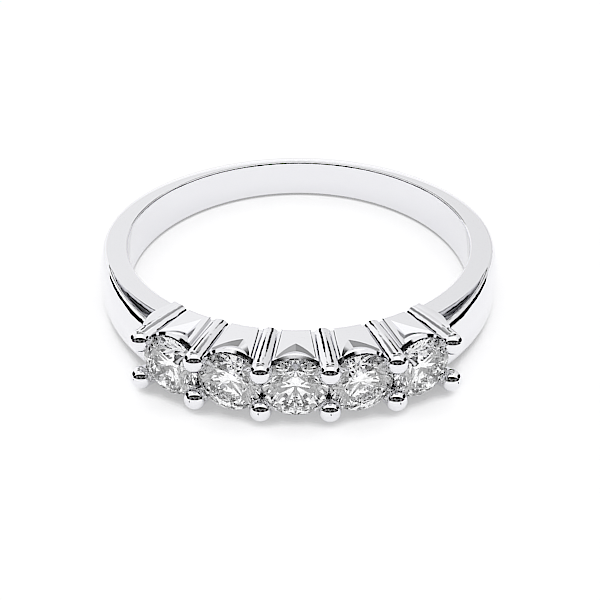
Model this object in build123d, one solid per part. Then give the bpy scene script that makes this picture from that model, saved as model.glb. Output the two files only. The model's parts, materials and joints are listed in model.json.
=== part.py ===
import os
from math import asin, atan, atan2, cos, degrees, hypot, radians, sin, tan

from build123d import *

# Five stone ring in white metal, in millimetres.
# The band narrows towards the back, and at each shoulder it splits into a raised strap and an inner band.
# The head is a row of five cups with shared ball claws, over a gallery with a small hole under each stone.
# It is drawn about the finger axis (Z) with the stones towards -Y, and at the end it is laid on its side.

# Finger hole and band
finger_diameter = 17.0
back_width = 1.90
front_width = 3.34
shank_thickness = 1.38
inner_band_thickness = 1.05
inner_edge_round = 0.09

# Shoulder straps and the channels beside them
strap_start = 75.0
strap_height = 2.20
strap_crown = 0.55
strap_width = 2.50
strap_lap = 0.50
channel_depth = 0.60

# Stones
stone_count = 5
stone_diameter = 3.08
stone_gap = 0.06
stone_height = 2.35
girdle_thickness = 0.09
girdle_sides = 64
table_share = 0.57
star_share = 0.50
lower_half_share = 0.77
crown_angle = 34.5
pavilion_angle = 40.75
seat_clearance = 0.03

# Gallery and cups
gallery_width = 3.37
gallery_thickness = 2.15
gallery_edge_round = 0.05
cup_depth = 1.50
cup_base_diameter = 2.10
cup_bulge = 0.08
cup_rim_bevel = 0.17
cup_rim_slope = 42.0
cup_rim_drop = 0.06
under_hole_diameter = 1.50
arch_width = 2.14
arch_foot_share = 0.20

# Claws
claw_foot_width = 0.90
claw_end_width = 1.04
claw_foot_spread = 3.46
claw_tip_diameter = 1.10
claw_tip_spread = 2.08
claw_tip_height = 2.80
claw_bow = 0.066
end_claw_tuck = 0.12
claw_slot_width = 1.10
claw_slot_depth = 0.14
claw_slot_bevel = 0.04

# Flanks: the low cushions between the end claws and the band
flank_width = 0.62
flank_crown = 0.30
flank_dome_radius = 1.20
flank_lean = 2.0
flank_depth = 0.45

# Worked out from the sizes above
bore_radius = finger_diameter / 2
root_radius = bore_radius - 0.2 * shank_thickness
band_radius = bore_radius + inner_band_thickness
gallery_radius = bore_radius + gallery_thickness
girdle_radius = bore_radius + stone_height
far = 2 * girdle_radius
mean_half_width = (back_width + front_width) / 4
taper_slope = (front_width - back_width) / 2 / finger_diameter
stone_radius = stone_diameter / 2
pitch_angle = 2 * degrees(atan((stone_diameter + stone_gap) / 2 / girdle_radius))
stone_angles = [(i - (stone_count - 1) / 2) * pitch_angle for i in range(stone_count)]
half_span = stone_count / 2 * pitch_angle - degrees(end_claw_tuck / girdle_radius)
claw_angles = [-half_span] + [angle + pitch_angle / 2 for angle in stone_angles[:-1]] + [half_span]
claw_foot_z = (claw_foot_spread - claw_foot_width) / 2
claw_tip_z = claw_tip_spread / 2
claw_tip_radius = bore_radius + claw_tip_height
claw_lean = degrees(atan2(claw_foot_z - claw_tip_z, claw_tip_height))


def section_plane(angle):
    """Plane through the finger axis, at an angle from the head's centre: x is the radius and y is Z."""
    turn = radians(angle)
    return Plane(origin=(0, 0, 0), x_dir=(sin(turn), -cos(turn), 0), z_dir=(-cos(turn), -sin(turn), 0))


def outward(angle, radius, height=0.0, lean=0.0):
    """Placement for a shape drawn along +Z: it points out from the finger axis, with its +Y along Z."""
    return Rot(Z=angle) * Pos(0, -radius, height) * Rot(X=90 + lean)


def side_height(angle, radius):
    """Half the band's width, where its flat tapered side passes a radius."""
    return mean_half_width + taper_slope * radius * cos(radians(angle))


def ring_sector(profile, start, end):
    """A profile of radius and height turned about the finger axis, between two angles from the head's centre."""
    return revolve(section_plane(start) * profile, Axis.Z, end - start)


def both_sides(shape):
    return shape + mirror(shape, Plane.XY)


def round_bore_edges(body, size, shortest):
    """Cut the finger hole and round its edges, all that are no shorter than a given length."""
    body -= Cylinder(bore_radius, far)
    edges = [
        edge for edge in body.edges().filter_by(Axis.Z, reverse=True)
        if edge.length >= shortest
        and all(abs(hypot((edge @ way).X, (edge @ way).Y) - bore_radius) < 0.001 for way in (0, 0.4, 1))]
    return fillet(edges, size)


# Shank, from the straps' roots round the back: towards the back the crown takes more of the thickness
SHANK_SECTIONS = [
    # angle, thickness share, crown share
    (strap_start, 1.045, 0.270),
    (90.0, 1.010, 0.260),
    (112.0, 1.000, 0.400),
    (135.0, 1.000, 0.640),
    (158.0, 1.000, 0.860),
    (180.0, 1.000, 0.920),
]


def shank_section(angle, thickness_share, crown_share):
    thickness = shank_thickness * thickness_share
    crown = thickness * crown_share
    edge = bore_radius + thickness - crown
    low = side_height(angle, root_radius)
    high = side_height(angle, edge)
    outline = Polyline((edge, high), (root_radius, low), (root_radius, -low), (edge, -high))
    outline += EllipticalCenterArc((edge, 0), crown, high, -90, arc_size=180)
    return section_plane(angle) * make_face(outline)


def shank():
    right = [shank_section(*row) for row in SHANK_SECTIONS]
    left = [shank_section(360 - angle, t, c) for angle, t, c in SHANK_SECTIONS[:-1]]
    return loft(right + left[::-1])


# Straps: a half-round bar that leaves the shank's crown and rises to the end claws
STRAP_SECTIONS = [
    # share of the way to the head, share of the rise, of the crown's growth, and of the narrowing
    (0.00, 0.00, 0.00, 0.00),
    (0.22, 0.15, 0.10, 0.45),
    (0.48, 0.36, 0.30, 0.80),
    (0.74, 0.66, 0.65, 0.96),
    (1.00, 1.00, 1.00, 1.00),
]


def strap_section(way, rise_share, growth_share, narrowing_share):
    _, thickness_share, crown_share = SHANK_SECTIONS[0]
    first_height = shank_thickness * thickness_share
    first_crown = first_height * crown_share
    head_end = half_span - degrees(strap_lap / girdle_radius)
    angle = strap_start + (head_end - strap_start) * way
    crown = first_crown + (strap_crown - first_crown) * growth_share
    edge = bore_radius + first_height + (strap_height - first_height) * rise_share - crown
    full = side_height(angle, edge)
    half = full + (strap_width / 2 - full) * narrowing_share
    floor_turn = 180 - degrees(asin((full - channel_depth) / half))
    bar = EllipticalCenterArc((edge, 0), crown, half, -floor_turn, arc_size=2 * floor_turn)
    root = Polyline(bar @ 1, (root_radius, (bar @ 1).Y), (root_radius, (bar @ 0).Y), bar @ 0)
    return section_plane(angle) * make_face(bar + root)


def shoulder():
    """The strap with the channels' floors in one, and the inner band with its flat tapered sides."""
    strap = loft([strap_section(*row) for row in STRAP_SECTIONS])
    block = Pos((root_radius + band_radius) / 2, 0) * Rectangle(band_radius - root_radius, far)
    sides = Polyline(
        (far, side_height(180, far)),
        (far, -side_height(180, far)),
        (-far, -side_height(0, far)),
        (-far, side_height(0, far)),
        (far, side_height(180, far)))
    wedge = extrude(Plane.YZ * make_face(sides), far, both=True)
    return strap + (ring_sector(block, half_span, strap_start) & wedge)


def gallery():
    """Annular head between the end claws, with a slot beside each claw and a pointed arch over each stone."""
    slope = tan(radians(claw_lean))
    near = gallery_width / 2
    outer = near - slope * gallery_thickness
    outline = make_face(Polyline(
        (bore_radius, near), (gallery_radius, outer), (gallery_radius, -outer), (bore_radius, -near), close=True))
    rounded = fillet(outline.vertices().group_by(Axis.X)[0], gallery_edge_round)
    body = ring_sector(rounded, -half_span, half_span)
    for angle in claw_angles:
        body -= both_sides(claw_slot(angle))
    for number in range(stone_count):
        body -= both_sides(arch(number))
    return body


def claw_slot(angle):
    """Shallow groove in the gallery's side that a claw lies in, with bevelled upper edges."""
    half = claw_slot_width / 2
    face = gallery_width / 2 - claw_foot_z
    floor = face - claw_slot_depth
    over = face + claw_slot_bevel
    outline = Polyline(
        (-half, floor), (half, floor), (half, face - claw_slot_bevel), (half + 2 * claw_slot_bevel, over),
        (-half - 2 * claw_slot_bevel, over), (-half, face - claw_slot_bevel), close=True)
    cutter = extrude(make_face(outline), gallery_thickness * 3, both=True)
    return outward(angle, bore_radius, claw_foot_z, claw_lean) * cutter


# Arches: the outer ones lean away from the head's middle
ARCHES = [
    # steps from the middle stone, turn about the stone's centre, distance of the apex, bulge of the sides,
    # and slope of the crease
    (0, 0.0, 1.30, 0.08, 10.0),
    (1, 11.0, 1.36, 0.08, 10.0),
    (2, 11.0, 2.10, -0.06, 13.5),
]


def arch(number):
    """Pointed recess in the gallery's side: two shallow facets that meet in a crease and fall to the cup."""
    steps = number - (stone_count - 1) // 2
    _, turn, reach, bulge, crease_slope = ARCHES[abs(steps)]
    depth = (1 - arch_foot_share) * reach * tan(radians(crease_slope))
    outline = arch_outline(reach, bulge)
    top = Plane.XZ * outline
    bottom = Plane.XZ.offset(depth) * scale(outline, by=arch_foot_share)
    face = outward(stone_angles[number], bore_radius, gallery_width / 2, claw_lean)
    turned = Rot(Y=turn * (1 if steps > 0 else -1))
    return face * Pos(0, 0, stone_height) * turned * loft([top, bottom], ruled=True)


def arch_outline(reach, bulge):
    """Pointed arch that comes down to the stone's middle, drawn from its apex."""
    half = arch_width / 2
    middle = (half / 2 + bulge, -reach / 2 - bulge)
    outline = ThreePointArc((0, -reach), middle, (half, 0))
    outline += Line((half, 0), (-half, 0))
    outline += ThreePointArc((-half, 0), (-middle[0], middle[1]), (0, -reach))
    return make_face(outline)


def cup():
    """Cup under one stone, with a full side and a bevelled rim, drawn along +Z with the girdle's plane at 0."""
    rim = -girdle_thickness / 2 - cup_rim_drop
    rim_radius = stone_radius + seat_clearance
    slope = radians(cup_rim_slope)
    lip = (rim_radius + cup_rim_bevel * sin(slope), rim - cup_rim_bevel * cos(slope))
    side = SagittaArc(lip, (cup_base_diameter / 2, -cup_depth), cup_bulge)
    outline = side + Polyline(side @ 1, (0, -cup_depth), (0, rim), (rim_radius, rim), lip)
    return revolve(Plane.XZ * make_face(outline), Axis.Z)


def seat():
    """Space that a stone takes with its clearance, drawn as the cup is, with the hole below it."""
    crown_half, star_tip, table_height = crown_heights()
    lower_tip, culet = pavilion_depths()
    half = girdle_thickness / 2
    outline = Polyline(
        (0, -culet - seat_clearance),
        ((1 - lower_half_share) * stone_radius + seat_clearance, -lower_tip),
        (stone_radius + seat_clearance, -half),
        (stone_radius + seat_clearance, half),
        (star_tip * stone_radius + seat_clearance, crown_half + seat_clearance),
        (table_share * stone_radius + seat_clearance, table_height + seat_clearance),
        (0, table_height + seat_clearance),
        close=True)
    hole = Pos(0, 0, -lower_tip) * Cylinder(
        under_hole_diameter / 2, stone_height, align=(Align.CENTER, Align.CENTER, Align.MAX))
    return revolve(Plane.XZ * make_face(outline), Axis.Z) + hole


def claw(angle):
    """Round claw that bows in from the finger hole's edge and thickens towards the ball at its tip."""
    foot = (root_radius, claw_foot_z)
    tip = (claw_tip_radius, claw_tip_z)
    middle = ((foot[0] + tip[0]) / 2, (foot[1] + tip[1]) / 2 + claw_bow)
    path = section_plane(angle) * ThreePointArc(foot, middle, tip)
    widths = ((0, claw_foot_width), (0.5, (claw_foot_width + claw_end_width) / 2), (1, claw_end_width))
    stem = loft([
        Plane(origin=path @ way, x_dir=(0, 0, 1), z_dir=path % way) * Circle(width / 2) for way, width in widths])
    return stem + Plane(origin=path @ 1, x_dir=(0, 0, 1), z_dir=path % 1) * Sphere(claw_tip_diameter / 2)


# Outer edge of a flank, from the finger hole to the end claw's ball
FLANK_EDGE = [
    # share of the way up the claw, share of the flank's width
    (-0.10, 0.65),
    (0.07, 0.69),
    (0.26, 0.89),
    (0.41, 1.00),
    (0.54, 0.94),
    (0.70, 0.65),
    (0.82, 0.45),
]


def flank(side):
    """Low domed cushion on the band's side of an end claw, drawn on the claw's own place."""
    edge = Spline([(side * flank_width * share, claw_tip_height * way) for way, share in FLANK_EDGE])
    outline = make_face(edge + Polyline(edge @ 1, (0, (edge @ 1).Y), (0, (edge @ 0).Y), edge @ 0))
    block = extrude(Plane.XZ * outline, flank_depth, both=True)
    dome = Pos(side * flank_crown, claw_foot_width / 2 - flank_dome_radius, 0) * Cylinder(flank_dome_radius, far)
    place = outward(side * half_span, bore_radius, claw_foot_z, flank_lean)
    return place * (block & dome)


def ring_mount():
    right = shoulder()
    band = round_bore_edges(shank() + right + mirror(right, Plane.YZ), inner_edge_round, bore_radius / 2)
    body = band + gallery()
    for angle in stone_angles:
        body += outward(angle, girdle_radius) * cup()
    for angle in claw_angles:
        body += both_sides(claw(angle))
    for side in (-1, 1):
        body += both_sides(flank(side))
    for angle in stone_angles:
        body -= outward(angle, girdle_radius) * seat()
    return body - Cylinder(bore_radius, far)


# Brilliant cut: eight-fold crown and pavilion, with halves between
def crown_heights():
    """Height of the star facets' tips, the share of the radius where they lie, and the table's height."""
    half = girdle_thickness / 2
    slope = tan(radians(crown_angle))
    table_edge = table_share * cos(radians(22.5))
    star_tip = table_edge + star_share * (1 - table_edge)
    tip_height = half + (1 - star_tip * cos(radians(22.5))) * slope * stone_radius
    return tip_height, star_tip, half + (1 - table_share) * slope * stone_radius


def pavilion_depths():
    """Depth of the lower halves' tips, and of the culet."""
    half = girdle_thickness / 2
    slope = tan(radians(pavilion_angle))
    lower_tip = half + (1 - (1 - lower_half_share) * cos(radians(22.5))) * slope * stone_radius
    return lower_tip, half + slope * stone_radius


def brilliant():
    """Round brilliant drawn along +Z with the middle of its girdle at 0, cut from a blank one facet at a time."""
    half = girdle_thickness / 2
    tip_height, star_tip, table_height = crown_heights()
    lower_tip, culet = pavilion_depths()
    step = cos(radians(11.25))
    table_edge = table_share * cos(radians(22.5))
    star_angle = degrees(atan((table_height - tip_height) / (star_tip - table_edge) / stone_radius))
    upper_angle = degrees(atan((tip_height - half) / (1 - star_tip) / step / stone_radius))
    lower_angle = degrees(atan((lower_tip - half) / lower_half_share / step / stone_radius))
    facets = [
        # count, first azimuth, slope, share of the radius and height of a point on the facet
        (8, 0.0, crown_angle, 1.0, half),
        (8, 22.5, star_angle, table_edge, table_height),
        (16, 11.25, upper_angle, step, half),
        (8, 0.0, 180 - pavilion_angle, 1.0, -half),
        (16, 11.25, 180 - lower_angle, step, -half),
    ]
    outline = RegularPolygon(stone_radius, girdle_sides)
    stone = Pos(0, 0, -culet) * extrude(outline, culet + table_height)
    for count, first, slope, share, height in facets:
        for i in range(count):
            turn = Rot(Z=first + 360 / count * i) * Pos(share * stone_radius, 0, height) * Rot(Y=slope)
            stone = split(stone, bisect_by=Plane(turn), keep=Keep.BOTTOM)
    return stone


mount = ring_mount()
stone = brilliant()
pieces = {"ring_mount": mount}
for number, angle in enumerate(stone_angles, 1):
    pieces[f"stone_{number}"] = outward(angle, girdle_radius) * stone

# Laid on its side, the ring rests on its lower claws' feet and the back of the band
lay_angle = degrees(atan2((claw_foot_spread - back_width) / 2, finger_diameter))
laid = Rot(X=-lay_angle)
box = (laid * mount).bounding_box()
place = Pos(-box.center().X, -box.center().Y, -box.min.Z) * laid

os.makedirs("parts", exist_ok=True)
for name, piece in pieces.items():
    export_step(place * piece, f"parts/{name}.step")
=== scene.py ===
import json
from math import cos, radians, sin

import bmesh
import bpy
from mathutils import Matrix, Vector

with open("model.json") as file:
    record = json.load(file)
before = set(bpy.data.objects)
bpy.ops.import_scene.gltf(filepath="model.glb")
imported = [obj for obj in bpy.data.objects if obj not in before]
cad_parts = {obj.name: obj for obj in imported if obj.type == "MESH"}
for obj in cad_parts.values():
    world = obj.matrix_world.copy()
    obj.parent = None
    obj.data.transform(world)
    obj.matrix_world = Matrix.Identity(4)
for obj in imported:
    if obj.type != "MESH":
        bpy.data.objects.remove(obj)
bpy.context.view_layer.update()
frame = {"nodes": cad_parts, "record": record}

# Ring mount: the band, shoulder straps, gallery, cups and claws are one casting of white gold.
# It is plated with rhodium and polished to a mirror by hand, so only faint cloth marks are left.
# Channels and grooves get painted shade in the metal's colour: it darkens where other surfaces close in.
# Colour that painted shade darkens towards.
painted_shade_black = (0.0, 0.0, 0.0, 1.0)


def socket_group(name, inputs, outputs):
    """Empty shader node group with named sockets, and its input and output nodes."""
    group = bpy.data.node_groups.new(name, "ShaderNodeTree")
    for label, kind, default in inputs:
        socket = group.interface.new_socket(label, in_out="INPUT", socket_type=kind)
        if default is not None:
            socket.default_value = default
    for label, kind in outputs:
        group.interface.new_socket(label, in_out="OUTPUT", socket_type=kind)
    return group, group.nodes.new("NodeGroupInput"), group.nodes.new("NodeGroupOutput")


def polish_group():
    """Hand polishing: fine cloth marks and a slow waviness, both in the object's own space."""
    group, start, end = socket_group("Hand polish", [
        ("Vector", "NodeSocketVector", None),
        ("Wave scale", "NodeSocketFloat", 900.0),
        ("Mark scale", "NodeSocketFloat", 9000.0),
        ("Low roughness", "NodeSocketFloat", 0.02),
        ("High roughness", "NodeSocketFloat", 0.08),
    ], [
        ("Height", "NodeSocketFloat"),
        ("Roughness", "NodeSocketFloat"),
        ("Marks", "NodeSocketFloat"),
    ])
    link = group.links.new
    wave = group.nodes.new("ShaderNodeTexNoise")
    marks = group.nodes.new("ShaderNodeTexNoise")
    marks.inputs["Detail"].default_value = 4.0
    marks.inputs["Distortion"].default_value = 1.5
    link(start.outputs["Vector"], wave.inputs["Vector"])
    link(start.outputs["Vector"], marks.inputs["Vector"])
    link(start.outputs["Wave scale"], wave.inputs["Scale"])
    link(start.outputs["Mark scale"], marks.inputs["Scale"])
    spread = group.nodes.new("ShaderNodeMapRange")
    spread.inputs["From Min"].default_value = 0.35
    spread.inputs["From Max"].default_value = 0.70
    link(marks.outputs["Fac"], spread.inputs["Value"])
    link(start.outputs["Low roughness"], spread.inputs["To Min"])
    link(start.outputs["High roughness"], spread.inputs["To Max"])
    link(wave.outputs["Fac"], end.inputs["Height"])
    link(spread.outputs["Result"], end.inputs["Roughness"])
    link(marks.outputs["Fac"], end.inputs["Marks"])
    return group


def painted_shade_group():
    """Painted shade: the share of the light left near other surfaces, a core where they nearly touch and a halo
    round it, that darkens a colour.
    """
    group, start, end = socket_group("Painted shade", [
        ("Room", "NodeSocketFloat", 1.0),
        ("Core below", "NodeSocketFloat", 0.0),
        ("Core above", "NodeSocketFloat", 1.0),
        ("Core share", "NodeSocketFloat", 1.0),
        ("Halo below", "NodeSocketFloat", 0.0),
        ("Halo share", "NodeSocketFloat", 1.0),
    ], [
        ("Light share", "NodeSocketFloat"),
    ])
    link = group.links.new
    core = group.nodes.new("ShaderNodeMapRange")
    halo = group.nodes.new("ShaderNodeMapRange")
    link(start.outputs["Room"], core.inputs["Value"])
    link(start.outputs["Room"], halo.inputs["Value"])
    link(start.outputs["Core below"], core.inputs["From Min"])
    link(start.outputs["Core above"], core.inputs["From Max"])
    link(start.outputs["Core share"], core.inputs["To Min"])
    link(start.outputs["Halo below"], halo.inputs["From Min"])
    link(start.outputs["Halo share"], halo.inputs["To Min"])
    link(product(group, core.outputs["Result"], halo.outputs["Result"]), end.inputs["Light share"])
    return group


def new_material(name):
    material = bpy.data.materials.new(name)
    material.use_nodes = True
    shader = material.node_tree.nodes["Principled BSDF"]
    place = material.node_tree.nodes.new("ShaderNodeTexCoord")
    return material, shader, place


def place_group(tree, group, values):
    """Node for a group, with this material's own values on its sockets."""
    node = tree.nodes.new("ShaderNodeGroup")
    node.node_tree = group
    for label, value in values.items():
        node.inputs[label].default_value = value
    return node


def blend(tree, factor, before, after):
    """Colour that goes from one to the other with the factor."""
    mix = tree.nodes.new("ShaderNodeMix")
    mix.data_type = "RGBA"
    tree.links.new(factor, mix.inputs["Factor"])
    for socket, colour in ((mix.inputs["A"], before), (mix.inputs["B"], after)):
        if isinstance(colour, tuple):
            socket.default_value = colour
        else:
            tree.links.new(colour, socket)
    return mix.outputs["Result"]


def product(tree, first, second):
    times = tree.nodes.new("ShaderNodeMath")
    times.operation = "MULTIPLY"
    tree.links.new(first, times.inputs[0])
    tree.links.new(second, times.inputs[1])
    return times.outputs["Value"]


hand_polish = polish_group()
painted_shade = painted_shade_group()
white_gold, shader, place = new_material("Polished white gold")
tree = white_gold.node_tree
shader.inputs["Metallic"].default_value = 1.0
polish = place_group(tree, hand_polish, {"Low roughness": 0.02, "High roughness": 0.08})
tree.links.new(place.outputs["Object"], polish.inputs["Vector"])
plating = blend(tree, polish.outputs["Marks"], (0.80, 0.80, 0.825, 1.0), (0.83, 0.83, 0.85, 1.0))
# Painted shade: the metal's colour goes dark where other surfaces come within 0.7 mm, in channels, grooves and
# between parts.
room_for_painted_shade = tree.nodes.new("ShaderNodeAmbientOcclusion")
room_for_painted_shade.samples = 8
room_for_painted_shade.inputs["Distance"].default_value = 0.0007
painted_recess_shade = place_group(tree, painted_shade, {"Core above": 0.40, "Core share": 0.40})
tree.links.new(room_for_painted_shade.outputs["AO"], painted_recess_shade.inputs["Room"])
tree.links.new(blend(tree, painted_recess_shade.outputs["Light share"], painted_shade_black, plating), shader.inputs["Base Color"])
tree.links.new(polish.outputs["Roughness"], shader.inputs["Roughness"])
waviness = tree.nodes.new("ShaderNodeBump")
waviness.inputs["Strength"].default_value = 0.03
waviness.inputs["Distance"].default_value = 0.0002
tree.links.new(polish.outputs["Height"], waviness.inputs["Height"])
tree.links.new(waviness.outputs["Normal"], shader.inputs["Normal"])

ring_mount = frame["nodes"]["ring_mount"]
ring_mount.data.materials.clear()
ring_mount.data.materials.append(white_gold)

# Stones: five round brilliants of clear diamond, each let into its cup and held by four claws.
# Their facets are polished flat on a lap, which leaves no more than a trace of marks.
diamond, shader, place = new_material("Clear brilliant")
tree = diamond.node_tree
shader.inputs["IOR"].default_value = 2.42
shader.inputs["Transmission Weight"].default_value = 1.0
lap = place_group(tree, hand_polish, {
    "Mark scale": 30000.0,
    "Low roughness": 0.0,
    "High roughness": 0.004,
})
tree.links.new(place.outputs["Object"], lap.inputs["Vector"])
tree.links.new(lap.outputs["Roughness"], shader.inputs["Roughness"])
clarity = blend(tree, lap.outputs["Height"], (1.0, 1.0, 1.0, 1.0), (0.985, 0.99, 1.0, 1.0))
tree.links.new(clarity, shader.inputs["Base Color"])

for name, node in frame["nodes"].items():
    if name.startswith("stone_"):
        node.data.materials.clear()
        node.data.materials.append(diamond)

# Table: a smooth white sweep that the ring lies on, lit from below as well, so that it stays white.
# A shadow is painted into its colour and its glow close to the ring: strongly where the metal nearly touches
# it, and faintly for 1.8 mm round it.
table_half = 0.6
table_gap = 0.00002
table_bmesh = bmesh.new()
bmesh.ops.create_grid(table_bmesh, x_segments=1, y_segments=1, size=table_half)
bmesh.ops.translate(table_bmesh, vec=(0.0, 0.0, -table_gap), verts=table_bmesh.verts)
table_mesh = bpy.data.meshes.new("table_top")
table_bmesh.to_mesh(table_mesh)
table_bmesh.free()
table_top = bpy.data.objects.new("table_top", table_mesh)
bpy.context.scene.collection.objects.link(table_top)

paper, shader, place = new_material("White table")
tree = paper.node_tree
shader.inputs["Roughness"].default_value = 0.6
shader.inputs["Specular IOR Level"].default_value = 0.0
fibre = tree.nodes.new("ShaderNodeTexNoise")
fibre.inputs["Scale"].default_value = 800.0
tree.links.new(place.outputs["Object"], fibre.inputs["Vector"])
sheet = blend(tree, fibre.outputs["Fac"], (0.93, 0.93, 0.94, 1.0), (0.95, 0.95, 0.95, 1.0))
# Painted shadow: the table's colour and glow go dark where the ring is near.
room_for_painted_shade = tree.nodes.new("ShaderNodeAmbientOcclusion")
room_for_painted_shade.samples = 16
room_for_painted_shade.inputs["Distance"].default_value = 0.0018
painted_shadow = place_group(tree, painted_shade, {
    "Core below": 0.30,
    "Core above": 0.47,
    "Core share": 0.60,
    "Halo below": 0.45,
    "Halo share": 0.88,
})
tree.links.new(room_for_painted_shade.outputs["AO"], painted_shadow.inputs["Room"])
painted_shadow_sheet = blend(tree, painted_shadow.outputs["Light share"], painted_shade_black, sheet)
tree.links.new(painted_shadow_sheet, shader.inputs["Base Color"])
tree.links.new(painted_shadow_sheet, shader.inputs["Emission Color"])
shader.inputs["Emission Strength"].default_value = 0.70
table_mesh.materials.append(paper)

# Studio: a white tent with a dark opening in front, that the camera looks in through.
# Paper cards hang in it, grey ones to give the polished metal its darker stripes and white ones to lift it.
world = bpy.data.worlds.new("Studio")
bpy.context.scene.world = world
world.use_nodes = True
tree = world.node_tree
link = tree.links.new
background = tree.nodes["Background"]
look = tree.nodes.new("ShaderNodeTexCoord")
ray = tree.nodes.new("ShaderNodeLightPath")
tent_brightness = 1.0

CARDS = [
    # azimuth from the front towards the right, elevation, half angle, soft edge, brightness
    (-150.0, 5.0, 45.0, 25.0, 1.10),
    (145.0, 0.0, 40.0, 25.0, 0.85),
    (180.0, 4.0, 12.0, 6.0, 1.15),
    (0.0, 90.0, 30.0, 3.0, 1.18),
    (144.0, 56.0, 9.0, 3.0, 0.72),
    (-144.0, 56.0, 12.0, 3.0, 0.36),
    (156.0, 57.0, 9.0, 1.5, 0.05),
    (166.0, 58.0, 12.0, 1.5, 0.50),
    (-170.0, 65.0, 8.0, 1.5, 0.40),
    (159.5, 34.0, 8.0, 2.0, 0.12),
    (-159.5, 34.0, 8.0, 2.0, 0.12),
]
# Black flags low at both sides, that draw the dark stripes along the straps and the end claws
FLAGS = [
    # azimuth, elevation, half angle
    (97.0, 20.0, 13.0),
    (110.0, 14.0, 11.5),
    (121.0, 8.0, 9.5),
]
flag_edge = 2.0
flag_brightness = 0.02
# Lighter places in the opening, that show in the dark crescents on the claws' balls
OPENING_SPOTS = [
    # azimuth, elevation, half angle, soft edge, brightness
    (0.0, 27.0, 12.0, 5.0, 0.22),
    (-50.0, 25.0, 13.0, 5.0, 0.25),
    (50.0, 25.0, 13.0, 5.0, 0.25),
    (-20.0, 40.0, 7.0, 3.0, 0.40),
    (22.0, 38.0, 5.0, 3.0, 0.30),
]
opening_sill = 15.0
opening_lintel = 64.0
opening_edge = sin(radians(2.5))
opening_on_metal = 0.03
opening_in_stones = 0.34


def grey(brightness):
    return brightness, brightness, brightness, 1.0


def toward(azimuth, elevation):
    level = cos(radians(elevation))
    return sin(radians(azimuth)) * level, -cos(radians(azimuth)) * level, sin(radians(elevation))


def soft_step(value, low, high):
    """A factor that rises smoothly from 0 to 1 between two values."""
    step = tree.nodes.new("ShaderNodeMapRange")
    step.interpolation_type = "SMOOTHSTEP"
    step.inputs["From Min"].default_value = low
    step.inputs["From Max"].default_value = high
    link(value, step.inputs["Value"])
    return step.outputs["Result"]


def facing(azimuth, elevation):
    """Cosine of the angle between the ray and a direction."""
    near = tree.nodes.new("ShaderNodeVectorMath")
    near.operation = "DOT_PRODUCT"
    near.inputs[1].default_value = toward(azimuth, elevation)
    link(look.outputs["Generated"], near.inputs[0])
    return near.outputs["Value"]


def hang_cards(walls, cards):
    for azimuth, elevation, half_angle, edge, brightness in cards:
        outside, inside = cos(radians(half_angle + edge)), cos(radians(half_angle - edge))
        covered = soft_step(facing(azimuth, elevation), outside, inside)
        walls = blend(tree, covered, walls, grey(brightness))
    return walls


walls = hang_cards(grey(tent_brightness), CARDS)
walls = hang_cards(walls, [
    (side * azimuth, elevation, half_angle, flag_edge, flag_brightness)
    for azimuth, elevation, half_angle in FLAGS for side in (-1, 1)])
above_sill = soft_step(facing(180, 90 - opening_sill), -opening_edge, opening_edge)
below_lintel = soft_step(facing(0, opening_lintel - 90), -opening_edge, opening_edge)
opening = blend(tree, ray.outputs["Is Transmission Ray"], grey(opening_on_metal), grey(opening_in_stones))
opening = hang_cards(opening, OPENING_SPOTS)
walls = blend(tree, product(tree, above_sill, below_lintel), walls, opening)

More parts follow.
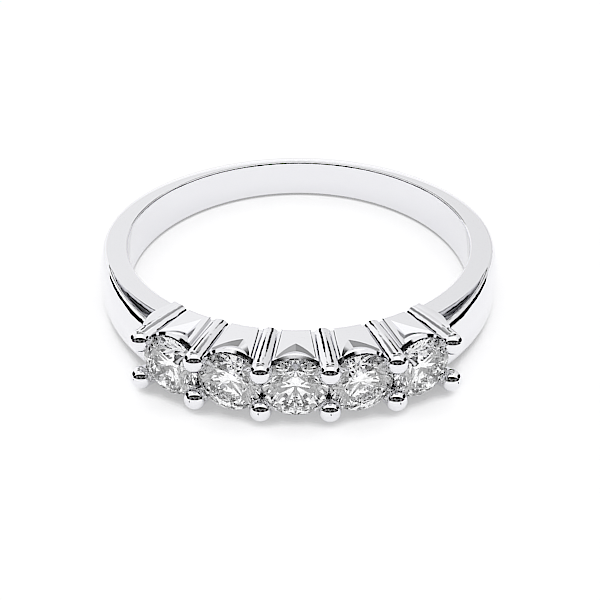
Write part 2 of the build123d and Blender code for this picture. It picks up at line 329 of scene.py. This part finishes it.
parts = tree.nodes.new("ShaderNodeSeparateXYZ")
link(look.outputs["Generated"], parts.inputs["Vector"])
table_light = tree.nodes.new("ShaderNodeMapRange")
table_light.inputs["From Min"].default_value = -1.0
table_light.inputs["To Min"].default_value = 0.50
table_light.inputs["To Max"].default_value = 0.20
link(parts.outputs["Y"], table_light.inputs["Value"])
seen = blend(tree, ray.outputs["Is Diffuse Ray"], walls, table_light.outputs["Result"])
seen = blend(tree, ray.outputs["Is Camera Ray"], seen, grey(1.0))
link(seen, background.inputs["Color"])
bpy.context.scene.view_settings.view_transform = "Standard"
light_bounces = 24
light_paths = bpy.context.scene.cycles
light_paths.max_bounces = light_bounces
light_paths.glossy_bounces = light_bounces
light_paths.transmission_bounces = light_bounces

# Finish of the picture: a little unsharp masking, as a catalogue photograph gets before it is printed.
# It only treats the light and colour of the finished picture, and nothing on the ring depends on it.
sharpening = 0.12
bpy.context.scene.use_nodes = True
desk = bpy.context.scene.node_tree
picture = desk.nodes["Render Layers"]
sharpen = desk.nodes.new("CompositorNodeFilter")
sharpen.filter_type = "SHARPEN"
sharpen.inputs["Fac"].default_value = sharpening
desk.links.new(picture.outputs["Image"], sharpen.inputs["Image"])
desk.links.new(sharpen.outputs["Image"], desk.nodes["Composite"].inputs["Image"])

# Camera: in front of the stones and above them, far off with a long lens.
# It is placed from the finger hole's middle and axis, because the ring lies on its side and is tipped a little:
# its head is wider than the back of the band.
finger_hole = next(m for m in frame["record"]["mounts"] if m["name"] == "finger_bore")
hole_axis = Vector(finger_hole["axis"]).normalized()
hole_middle = Vector(finger_hole["pos_m"])
hole_frame = Matrix((
    (1, 0, 0, hole_middle.x),
    (0, hole_axis.z, hole_axis.y, hole_middle.y),
    (0, -hole_axis.y, hole_axis.z, hole_middle.z),
    (0, 0, 0, 1),
))
camera_distance = 0.1303716
camera_rise = 32.0665
camera_swing = 0.8246
camera_pan = radians(-0.02727)
camera_tip = radians(-0.80348)
camera_data = bpy.data.cameras.new("Camera")
camera_data.sensor_width = 36.0
camera_data.lens = 156.424
camera_data.clip_start = 0.005
camera = bpy.data.objects.new("Camera", camera_data)
bpy.context.scene.collection.objects.link(camera)
stand = Vector(toward(camera_swing, camera_rise))
ahead = -stand
right = ahead.cross(Vector((0, 0, 1))).normalized()
upward = right.cross(ahead)
pan = Matrix.Rotation(camera_pan, 3, upward)
ahead, right = pan @ ahead, pan @ right
tip = Matrix.Rotation(camera_tip, 3, right)
ahead, upward = tip @ ahead, tip @ upward
camera_place = Matrix((right, upward, -ahead)).transposed().to_4x4()
camera_place.translation = stand * camera_distance
camera.matrix_world = hole_frame @ camera_place
bpy.context.scene.camera = camera
